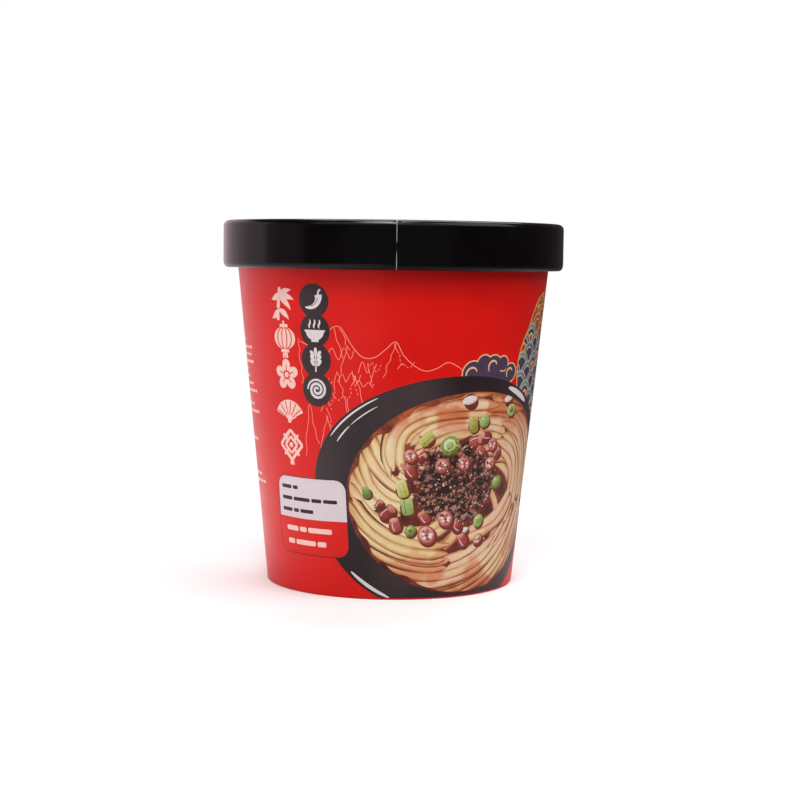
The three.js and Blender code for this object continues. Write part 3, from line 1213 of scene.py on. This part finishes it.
def rolled(name, board, inks, seam, lap_angle, lap_thickness):
    """Makes a board into a mesh, rolls it, and gives it its inks."""
    used = sorted(set(board.inks), key=list(inks).index)
    mesh = bpy.data.meshes.new(name)
    corners = np.array(board.corners)
    mesh.from_pydata(corners[:, :3].tolist(), [], board.faces)
    mesh.materials.append(inks[used[0]])
    strand, lit, places = [], [], []
    for face, marks, place in zip(board.faces, board.marks, board.places):
        strand += marks[0] if marks else [(0.0, 0.0, 0.5)] * len(face)
        lit += marks[1] if marks else [0.0] * len(face)
        places += place if place else [(0.0, 0.0)] * len(face)
    store(mesh, "lap_share", "FLOAT", "POINT", corners[:, 3])
    store(mesh, "ink", "INT", "FACE", [used.index(n) for n in board.inks])
    store(mesh, "strand", "FLOAT_VECTOR", "CORNER", np.array(strand, np.float32).ravel())
    store(mesh, "lit", "FLOAT", "CORNER", np.array(lit, np.float32))
    if any(board.places):
        layer = mesh.uv_layers.new(name="OFBake")
        layer.data.foreach_set("uv", np.array(places, np.float32).ravel())
    obj = run_tree(placed(name, mesh), roll_tree([inks[n] for n in used]),
                   **{"Seam angle": seam, "Lap angle": lap_angle, "Lap thickness": lap_thickness})
    for spare in ("ink", "lap_share"):
        layer = obj.data.attributes.get(spare)
        if layer:
            obj.data.attributes.remove(layer)
    obj.data.shade_smooth()
    return obj


def turned_rows(board, angles, rows, name):
    """Rings of faces between rows of corners, each row a radius, height and share of the lap."""
    rings = [[board.corner(math.radians(a), *row) for a in angles] for row in rows]
    for below, above in zip(rings, rings[1:]):
        for k in range(len(angles) - 1):
            board.face([below[k], below[k + 1], above[k + 1], above[k]], name)
    return rings


def arc_rows(centre_radius, centre_height, radius, start, end, count, share=1.0):
    return [(centre_radius + radius * math.cos(a), centre_height + radius * math.sin(a), share)
            for a in np.radians(np.linspace(start, end, count))]


class NOODLECUP_OT_cup(bpy.types.Operator):
    """Makes the printed board cup with its rolled foot, side seam and lip"""
    bl_idname = "noodle_cup.cup"
    bl_label = "Printed cup"

    def execute(self, context):
        sizes, colours = context.scene.noodle_cup_sizes, context.scene.noodle_cup_colours
        inks = cup_inks(colours)
        blank = Blank(sizes)
        top = CUP_HIGH.z - 2 * sizes.lip_radius
        low = 0.6
        cut = math.degrees(sizes.cut_edge / sizes.foot_radius) / 2
        sheet, angles, heights = print_wall(blank, low, top / MM, 180.0 - cut)
        board = Board()
        lay_wall(board, sheet, blank, angles, heights)
        finish_ends(board, sizes, low * MM, top)
        cup = rolled("cup_body", board, inks, math.pi, sizes.lap_width / sizes.foot_radius,
                     sizes.lap_thickness)
        smooth_wall(cup, sizes, low * MM)
        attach(cup, "root")
        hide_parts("cup")
        return {"FINISHED"}


def lay_wall(board, sheet, blank, angles, heights):
    """Cuts the blank into faces of one ink each, and adds them to the board."""
    half_turn = angles[-1]
    count = len(sheet.points)
    extra = [blank.spot(a, h) for a in angles[1:-1] for h in heights[1:-1]]
    guides = []
    for angle in FRONT:
        extra += [blank.spot(angle, heights[0]), blank.spot(angle, heights[-1])]
        guides.append((count + len(extra) - 2, count + len(extra) - 1))
    points = [Vector(p) for p in sheet.points + extra]
    spots, _, faces, _, _, owners = delaunay_2d_cdt(points, guides, sheet.faces, 1, 1e-5, True)
    on_blank = [n for n, over in enumerate(owners) if 0 in over]
    used = sorted({c for n in on_blank for c in faces[n]})
    fresh = {c: k for k, c in enumerate(used)}
    faces = {n: [fresh[c] for c in faces[n]] for n in on_blank}
    flat = np.array([tuple(spots[c]) for c in used])
    around, up = blank.unspot(flat)
    around = around.clip(-half_turn, half_turn)
    radius = blank.foot + blank.flare * up
    for a, r, h in zip(around, radius, up):
        board.corner(math.radians(a), r * MM, h * MM, 1.0)
    shown = [[] for _ in sheet.faces]
    for number in on_blank:
        held = set(owners[number])
        seen = [s for s in held if sheet.within[s] is None or sheet.within[s] in held]
        shown[max(seen)].append(number)
    for shape, numbers in enumerate(shown):
        if not numbers:
            continue
        corners = [c for n in numbers for c in faces[n]]
        across, along, own, lit = sheet.marks[shape](flat[corners])
        name = INKS[sheet.inks[shape]]
        at = 0
        for n in numbers:
            face = faces[n]
            strand = [(across[at + i], along[at + i], own[at + i]) for i in range(len(face))]
            place = wall_map([(around[c], up[c]) for c in face], heights)
            board.face(face, name, place, (strand, [lit[at + i] for i in range(len(face))]))
            at += len(face)


def wall_map(corners, heights):
    """Map places of wall corners: the front takes the large upper part of the map."""
    middle = sum(a for a, _ in corners) / len(corners)
    front = FRONT[0] < middle < FRONT[1]
    start = FRONT[0] if front else FRONT[1]
    low, high = (0.32, 0.995) if front else (0.08, 0.305)
    places = []
    for angle, height in corners:
        turn = (angle - start) if front or middle > 0 else (angle + 360.0 - start)
        share = (height - heights[0]) / (heights[-1] - heights[0])
        places.append((0.004 + 0.992 * turn / 180.0, low + (high - low) * share))
    return places


def boundary_at(board, height, faces_end):
    """Corners on the wall's free edge at this height, in order of angle."""
    seen = {}
    for face in board.faces[:faces_end]:
        for pair in zip(face, face[1:] + face[:1]):
            key = (min(pair), max(pair))
            seen[key] = seen.get(key, 0) + 1
    edge = {c for pair, times in seen.items() if times == 1 for c in pair}
    near = [c for c in edge if abs(board.corners[c][2] - height) < 0.05 * MM]
    return sorted(near, key=lambda c: board.corners[c][0])


def finish_ends(board, sizes, low, top):
    """Adds the rolled foot and base disc below the wall, the lip above it, and the side seam."""
    faces_end = len(board.faces)
    bottom = boundary_at(board, low, faces_end)
    upper = boundary_at(board, top, faces_end)
    sides = []
    for sign in (-1, 1):
        extreme = max(sign * board.corners[c][0] for c in bottom)
        side = [c for c in range(len(board.corners))
                if abs(sign * board.corners[c][0] - extreme) < 1e-6]
        sides.append(sorted(side, key=lambda c: board.corners[c][2]))
    foot, ring, recess = sizes.foot_radius, sizes.foot_ring, sizes.base_recess
    inner = foot + sizes.wall_flare * recess - ring
    rows = [(foot - 0.00004, 0.00028, 1.0), (foot - 0.00018, 0.00007, 1.0),
            (foot - 0.0004, 0.0, 1.0), (foot - ring + 0.0004, 0.0, 0.0),
            (foot - ring + 0.00015, 0.0001, 0.0), (foot - ring, 0.0005, 0.0),
            (inner, recess - 0.0014, 0.0), (inner - 0.0002, recess - 0.0005, 0.0),
            (inner - 0.0009, recess, 0.0), (inner - 0.0026, recess + 0.0002, 0.0),
            (inner - 0.0034, recess - 0.0001, 0.0), (inner * 0.6, recess, 0.0),
            (inner * 0.2, recess, 0.0)]
    names = ["poppy", "poppy"] + ["raw"] * len(rows)
    chains_low = cap_rows(board, bottom, rows, recess, names, True)
    lip, centre = sizes.lip_radius, LID_HIGH.x - sizes.band_thickness - 0.0006 - sizes.lip_radius
    height = CUP_HIGH.z - lip
    rows = arc_rows(centre, height, lip, -90, 90, 9, 0.0) + [(centre * 0.5, CUP_HIGH.z, 0.0)]
    chains_high = cap_rows(board, upper, rows, CUP_HIGH.z, ["raw"] * (len(rows) + 1), False)
    left = chains_low[0][::-1] + sides[0] + chains_high[0]
    right = chains_low[1][::-1] + sides[1] + chains_high[1]
    if len(sides[0]) != len(sides[1]):
        raise RuntimeError("the print crosses the side seam")
    for k in range(len(left) - 1):
        corners = list(dict.fromkeys((right[k], left[k], left[k + 1], right[k + 1])))
        if len(corners) > 2:
            up = 0.002 + 0.07 * k / len(left)
            board.face(corners, "raw", [(0.001 + 0.001 * (c in left), up) for c in corners])


def cap_rows(board, edge, rows, pole_height, names, downwards):
    """Turns rows of corners from the wall's edge to the axis. Returns their first and last corners."""
    angles = [board.corners[c][0] for c in edge]
    rings = [edge] + [[board.corner(a, *row) for a in angles] for row in rows]
    count, spread = len(rings), angles[-1] - angles[0]
    rings.append([board.corner(0.0, 0.0, pole_height, 0.0)] * len(edge))
    base, depth = (0.003, 0.036) if downwards else (0.042, 0.030)
    for number in range(count):
        for k in range(len(edge) - 1):
            spots = [(k, number), (k + 1, number), (k + 1, number + 1), (k, number + 1)]
            if number == count - 1:
                spots.pop(2)
            if downwards:
                spots.reverse()
            places = [(0.006 + 0.99 * (angles[j] - angles[0]) / spread, base + depth * ring / count)
                      for j, ring in spots]
            board.face([rings[ring][j] for j, ring in spots], names[number], places)
    return [ring[0] for ring in rings[1:]], [ring[-1] for ring in rings[1:]]


def gathered(items, name, kind, width=1):
    """One property of all the items of a mesh, as an array."""
    values = np.empty(len(items) * width, kind)
    items.foreach_get(name, values)
    return values


def smooth_wall(cup, sizes, low):
    """Gives the wall the normals of the true cone, so that the small faces of the print don't show."""
    mesh = cup.data
    vertex = gathered(mesh.loops, "vertex_index", np.int32)
    place = gathered(mesh.vertices, "co", np.float32, 3).reshape(-1, 3)[vertex]
    radius = np.hypot(place[:, 0], place[:, 1])
    cone = sizes.foot_radius + sizes.wall_flare * place[:, 2]
    normal = np.stack([place[:, 0] / np.maximum(radius, 1e-9),
                       place[:, 1] / np.maximum(radius, 1e-9),
                       np.full(len(place), -sizes.wall_flare)], 1)
    normal /= np.linalg.norm(normal, axis=1, keepdims=True)
    raw = [i for i, m in enumerate(mesh.materials) if m.name.startswith("raw")]
    slots = gathered(mesh.polygons, "material_index", np.int32)
    bare = np.isin(np.repeat(slots, gathered(mesh.polygons, "loop_total", np.int32)), raw)
    on_wall = (np.abs(radius - cone) < 0.0005) & (place[:, 2] >= low - 1e-6) & ~bare
    normal[~on_wall] = 0.0
    mesh.normals_split_custom_set(normal.tolist())


class NOODLECUP_OT_lid(bpy.types.Operator):
    """Makes the black board lid: a lapped band with a raised rim and a rolled hem, and its panel"""
    bl_idname = "noodle_cup.lid"
    bl_label = "Board lid"

    def execute(self, context):
        sizes, colours = context.scene.noodle_cup_sizes, context.scene.noodle_cup_colours
        inks = {"lid": board_material("lid_board", colours.lid, lid_pattern, **LID_FINISH),
                "edge": board_material("lid_cut_edge", linear("B4B0B0"), cut_edge_pattern, **CUT_FINISH)}
        outer, top, bottom = LID_HIGH.x, LID_HIGH.z, LID_LOW.z
        inside = outer - sizes.band_thickness
        rim_inside, panel_top = outer - sizes.rim_width, top - sizes.rim_rise
        shoulder, hem, rise = sizes.rim_round, outer - sizes.hem_width, sizes.hem_height
        bend, round_wide, round_tall = 0.0007, 0.0015, 0.0022
        rows = [(hem, bottom + rise, 0.0), (hem, bottom + bend, 0.0),
                (hem + 0.0002, bottom + 0.0002, 0.0), (hem + bend, bottom, 0.4)]
        rows += [(outer - round_wide + round_wide * math.cos(a),
                  bottom + round_tall + round_tall * math.sin(a), 1.0)
                 for a in np.linspace(-1.5, 0.0, 10)]
        rows += [(outer, bottom + round_tall + (top - bottom - round_tall - shoulder) * t, 1.0)
                 for t in (0.1, 0.35, 0.65, 0.95)]
        rows += arc_rows(outer - shoulder, top - shoulder, shoulder, 0, 90, 12)
        rows += arc_rows(rim_inside + 0.001, top - 0.001, 0.001, 90, 180, 8, 0.6)
        rows += [(rim_inside, panel_top + 0.0003, 0.0), (rim_inside, panel_top - 0.0005, 0.0),
                 (inside, panel_top - 0.0005, 0.0),
                 (inside, bottom + rise + sizes.hem_width - sizes.band_thickness, 0.0)]
        seam, half_cut = sizes.lid_seam, sizes.cut_edge / outer / 2
        angles = np.degrees(np.linspace(seam - 2 * math.pi + half_cut, seam - half_cut, 241))
        board = Board()
        rings = turned_rows(board, angles, rows, "lid")
        for k in range(len(angles) - 1):
            board.face([rings[-1][k], rings[-1][k + 1], rings[0][k + 1], rings[0][k]], "lid")
        ends = rings + [rings[0]]
        for below, above in zip(ends[:-1], ends[1:]):
            stepped = board.corners[below[0]][3] > 0 and board.corners[above[0]][3] > 0
            board.face([below[-1], below[0], above[0], above[-1]], "edge" if stepped else "lid")
        band = rolled("lid_band", board, inks, seam, sizes.lap_width / outer, sizes.lap_thickness)
        band.data.set_sharp_from_angle(angle=math.radians(50))
        panel = lid_panel(rim_inside, panel_top, inks["lid"])
        for piece in (band, panel):
            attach(piece, "root")
            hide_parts("lid")
        return {"FINISHED"}


def lid_panel(radius, top, material):
    """The round panel inside the rim, with a shallow pressed ring and a hair of bow."""
    board = Board()
    rows = [(radius - 0.0001, top - 0.0005, 0.0), (radius - 0.0001, top - 0.0001, 0.0),
            (radius - 0.0004, top, 0.0), (radius - 0.0030, top + 0.00002, 0.0),
            (radius - 0.0036, top - 0.00022, 0.0), (radius - 0.0046, top - 0.00022, 0.0),
            (radius - 0.0052, top + 0.00003, 0.0)]
    for share in (0.8, 0.6, 0.4, 0.2, 0.06):
        rows.append((radius * share, top + 0.00035 * (1 - share ** 2), 0.0))
    angles = np.linspace(0, 360, 193)
    rings = turned_rows(board, angles[:-1], rows, "lid")
    for below, above in zip(rings[:-1], rings[1:]):
        board.face([below[-1], below[0], above[0], above[-1]], "lid")
    for ring, height, turn in ((rings[-1], top + 0.00035, 1), (rings[0], top - 0.0005, -1)):
        pole = board.corner(0.0, 0.0, height, 0.0)
        for k in range(len(ring)):
            board.face([ring[k], ring[(k + 1) % len(ring)], pole][::turn], "lid")
    panel = rolled("lid_panel", board, {"lid": material}, math.tau, 0.1, 0.0)
    panel.data.set_sharp_from_angle(angle=math.radians(40))
    return panel


class NOODLECUP_OT_foot_crimps(bpy.types.Operator):
    """Makes the pressed ribs round the inside of the foot ring"""
    bl_idname = "noodle_cup.foot_crimps"
    bl_label = "Foot crimps"

    def execute(self, context):
        sizes, colours = context.scene.noodle_cup_sizes, context.scene.noodle_cup_colours
        mesh = bpy.data.meshes.new("crimp")
        wide, deep, tall = 0.0003, 0.0002, 0.0019
        corners, faces = [], []
        for z, share in ((-tall, 0.3), (-0.7 * tall, 1.0), (0.7 * tall, 1.0), (tall, 0.3)):
            corners += [(-wide * share, 0, z), (wide * share, 0, z),
                        (0.5 * wide * share, -deep * share, z), (-0.5 * wide * share, -deep * share, z)]
        for level in range(3):
            for k in range(4):
                a, b = 4 * level + k, 4 * level + (k + 1) % 4
                faces.append((a, b, b + 4, a + 4))
        faces += [(3, 2, 1, 0), (12, 13, 14, 15)]
        mesh.from_pydata(corners, [], faces)
        board = board_material("crimp_board", colours.raw, raw_pattern, **RAW_FINISH)
        mesh.materials.append(board)
        rib = placed("crimp", mesh)
        start = placed("foot_crimps", bpy.data.meshes.new("foot_crimps"))
        tree = crimp_tree(rib, board)
        height = sizes.base_recess * 0.5
        radius = sizes.foot_radius - sizes.foot_ring + sizes.wall_flare * height
        crimps = run_tree(start, tree, **{"Radius": radius + 0.00004, "Height": height,
                                          "Ribs": sizes.crimps, "Lean": math.atan(sizes.wall_flare)})
        bpy.data.objects.remove(rib)
        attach(crimps, "root")
        return {"FINISHED"}


def crimp_tree(rib, material):
    """Sets ribs round a circle, facing its middle."""
    tree, given, result = new_tree("Crimp the foot", {"Radius": "Float", "Height": "Float",
                                                      "Ribs": "Int", "Lean": "Float"})
    around = {"Vertices": given["Ribs"], "Radius": given["Radius"]}
    ring = add_node(tree, "GeometryNodeMeshCircle", named=around).outputs[0]
    offset = joined(tree, 0.0, 0.0, given["Height"])
    lift = add_node(tree, "GeometryNodeSetPosition", named={"Geometry": ring, "Offset": offset})
    source = add_node(tree, "GeometryNodeObjectInfo", named={"Object": rib}).outputs["Geometry"]
    number = add_node(tree, "GeometryNodeInputIndex").outputs[0]
    turn = scaled(tree, calc(tree, "DIVIDE", number, given["Ribs"]), math.tau)
    spin = joined(tree, given["Lean"], 0.0, calc(tree, "SUBTRACT", turn, math.pi / 2))
    ribs = {"Points": lift.outputs[0], "Instance": source, "Rotation": spin}
    place = add_node(tree, "GeometryNodeInstanceOnPoints", named=ribs).outputs[0]
    real = add_node(tree, "GeometryNodeRealizeInstances", place).outputs[0]
    feed(tree, dressed(tree, real, material), result)
    return tree


# Stage

CAMERA_DISTANCE = 0.6188
CAMERA_HEIGHT = 0.1135
CAMERA_PITCH = -4.693
CAMERA_YAW = 0.273
CAMERA_ROLL = 0.784
CAMERA_LENS = 79.57


def add_camera(scene):
    """A camera at the photograph's viewing angle."""
    pitch, yaw, roll = (math.radians(v) for v in (CAMERA_PITCH, CAMERA_YAW, CAMERA_ROLL))
    ahead = Vector((math.sin(yaw) * math.cos(pitch), math.cos(yaw) * math.cos(pitch),
                    math.sin(pitch)))
    level = Vector((math.cos(yaw), -math.sin(yaw), 0.0))
    above = level.cross(ahead)
    right = math.cos(roll) * level + math.sin(roll) * above
    up = -math.sin(roll) * level + math.cos(roll) * above
    data = bpy.data.cameras.new("camera")
    data.lens, data.sensor_width, data.clip_start = CAMERA_LENS, 36.0, 0.01
    camera = placed("camera", data)
    turn = Matrix((right, up, -ahead)).transposed().to_4x4()
    camera.matrix_world = Matrix.Translation((0.0, -CAMERA_DISTANCE, CAMERA_HEIGHT)) @ turn
    scene.camera = camera


def camera_only(tree, shown, felt):
    """Mixes two shaders: one that the camera sees, and one that the cup and other surfaces see."""
    seen = add_node(tree, "ShaderNodeLightPath").outputs["Is Camera Ray"]
    return add_node(tree, "ShaderNodeMixShader", seen, felt, shown).outputs[0]


def add_world(scene):
    """Pale studio surroundings: white to the camera, dim where they light the cup."""
    scene.world = bpy.data.worlds.new("studio")
    tree = emptied(scene.world)
    ends = [add_node(tree, "ShaderNodeBackground", tint, strength).outputs[0]
            for strength, tint in ((1.0, (1, 1, 1, 1)), (0.09, (1.0, 0.74, 0.76, 1)))]
    add_node(tree, "ShaderNodeOutputWorld", camera_only(tree, *ends))


def add_floor():
    """A round floor, white to the camera. To the cup it is dark further out, so that it throws little
    light back on the front, and it carries painted bounce light: brighter to the left and close round the
    foot.
    """
    material = bpy.data.materials.new("pale_floor")
    tree = emptied(material)
    place = object_place(tree)
    tone = ramp(tree, noise(tree, place, 6.0, 3.0), (0.3, "F4F4F4"), (0.7, "F8F8F8"))
    # Painted bounce light: the floor that the cup sees is brighter to the left and close round its foot,
    # and darker further out
    left = remap(tree, split(tree, place)[0], -0.12, 0.0, 0.58, 0.0, smooth=True)
    away = add_node(tree, "ShaderNodeVectorMath", place, operation="LENGTH").outputs["Value"]
    near = remap(tree, away, 0.10, 0.34, 0.52, 0.10, smooth=True)
    shown, felt = (add_node(tree, "ShaderNodeBsdfDiffuse", tint).outputs[0]
                   for tint in (tone, calc(tree, "ADD", left, near)))
    add_node(tree, "ShaderNodeOutputMaterial", camera_only(tree, shown, felt))
    mesh = bpy.data.meshes.new("floor")
    rim = [(0.5 * math.cos(a), 0.5 * math.sin(a), 0.0)
           for a in np.linspace(0, math.tau, 96, endpoint=False)]
    mesh.from_pydata(rim, [], [list(range(96))])
    mesh.materials.append(material)
    floor = placed("floor", mesh)


def softbox_at(name, azimuth, elevation, distance, width, height, brightness,
               tint=(1.0, 1.0, 1.0), highlights_only=False):
    """A softbox that faces the cup. Azimuth 0 is the front, 90 the right. Brightness is radiance."""
    middle = Vector((0.0, 0.0, 0.07))
    a, e = math.radians(azimuth), math.radians(elevation)
    away = Vector((math.sin(a) * math.cos(e), -math.cos(a) * math.cos(e), math.sin(e)))
    data = bpy.data.lights.new(name, "AREA")
    data.shape, data.size, data.size_y = "RECTANGLE", width, height
    data.energy, data.color = brightness * math.pi * width * height, tint
    light = placed(name, data)
    light.location = middle + distance * away
    light.rotation_euler = away.to_track_quat("Z", "Y").to_euler()
    light.visible_diffuse = not highlights_only


class NOODLECUP_OT_stage(bpy.types.Operator):
    """Makes the pale floor, the soft lights and the camera"""
    bl_idname = "noodle_cup.stage"
    bl_label = "Stage"

    def execute(self, context):
        scene = context.scene
        add_floor()
        add_world(scene)
        softbox_at("window", -9.0, 55.0, 1.2, 0.28, 0.28, 21.0)
        softbox_at("window_glow", -13.0, 70.0, 1.2, 0.40, 1.1, 9.0, highlights_only=True)
        softbox_at("left_softbox", -34.0, 40.0, 1.25, 0.9, 0.9, 1.12)
        softbox_at("middle_softbox", 16.0, 40.0, 1.25, 0.9, 0.9, 1.25)
        softbox_at("right_softbox", 68.0, 44.0, 1.25, 1.0, 0.9, 3.0)
        softbox_at("front_fill", 4.0, 2.0, 1.4, 2.0, 0.9, 0.10)
        softbox_at("left_panel", -128.0, 8.0, 0.7, 1.05, 0.7, 0.86, (1.0, 0.81, 0.87))
        softbox_at("left_fade", -80.0, 6.0, 0.9, 0.66, 0.7, 0.37, (1.0, 0.78, 0.86))
        softbox_at("back_softbox", 168.0, 62.0, 1.2, 1.0, 0.8, 4.0)
        add_camera(scene)
        scene.view_settings.view_transform = "Standard"
        return {"FINISHED"}


class NOODLECUP_PT_panel(bpy.types.Panel):
    """Lists the pieces and their sizes"""
    bl_label = "Noodle cup"
    bl_idname = "NOODLECUP_PT_panel"
    bl_space_type = "VIEW_3D"
    bl_region_type = "UI"
    bl_category = "Noodle cup"

    def draw(self, context):
        layout = self.layout
        for operator in OPERATORS:
            layout.operator(operator.bl_idname)
        for group in (context.scene.noodle_cup_sizes, context.scene.noodle_cup_colours):
            for name in group.__annotations__:
                layout.prop(group, name)


OPERATORS = (NOODLECUP_OT_cup, NOODLECUP_OT_foot_crimps, NOODLECUP_OT_lid, NOODLECUP_OT_stage)
CLASSES = (NoodleCupSizes, NoodleCupColours, *OPERATORS, NOODLECUP_PT_panel)


def register():
    for item in CLASSES:
        bpy.utils.register_class(item)
    bpy.types.Scene.noodle_cup_sizes = PointerProperty(type=NoodleCupSizes)
    bpy.types.Scene.noodle_cup_colours = PointerProperty(type=NoodleCupColours)


def unregister():
    del bpy.types.Scene.noodle_cup_colours
    del bpy.types.Scene.noodle_cup_sizes
    for item in reversed(CLASSES):
        bpy.utils.unregister_class(item)


def main():
    register()
    for name in ("cup", "foot_crimps", "lid", "stage"):
        getattr(bpy.ops.noodle_cup, name)()


if __name__ == "__main__":
    main()
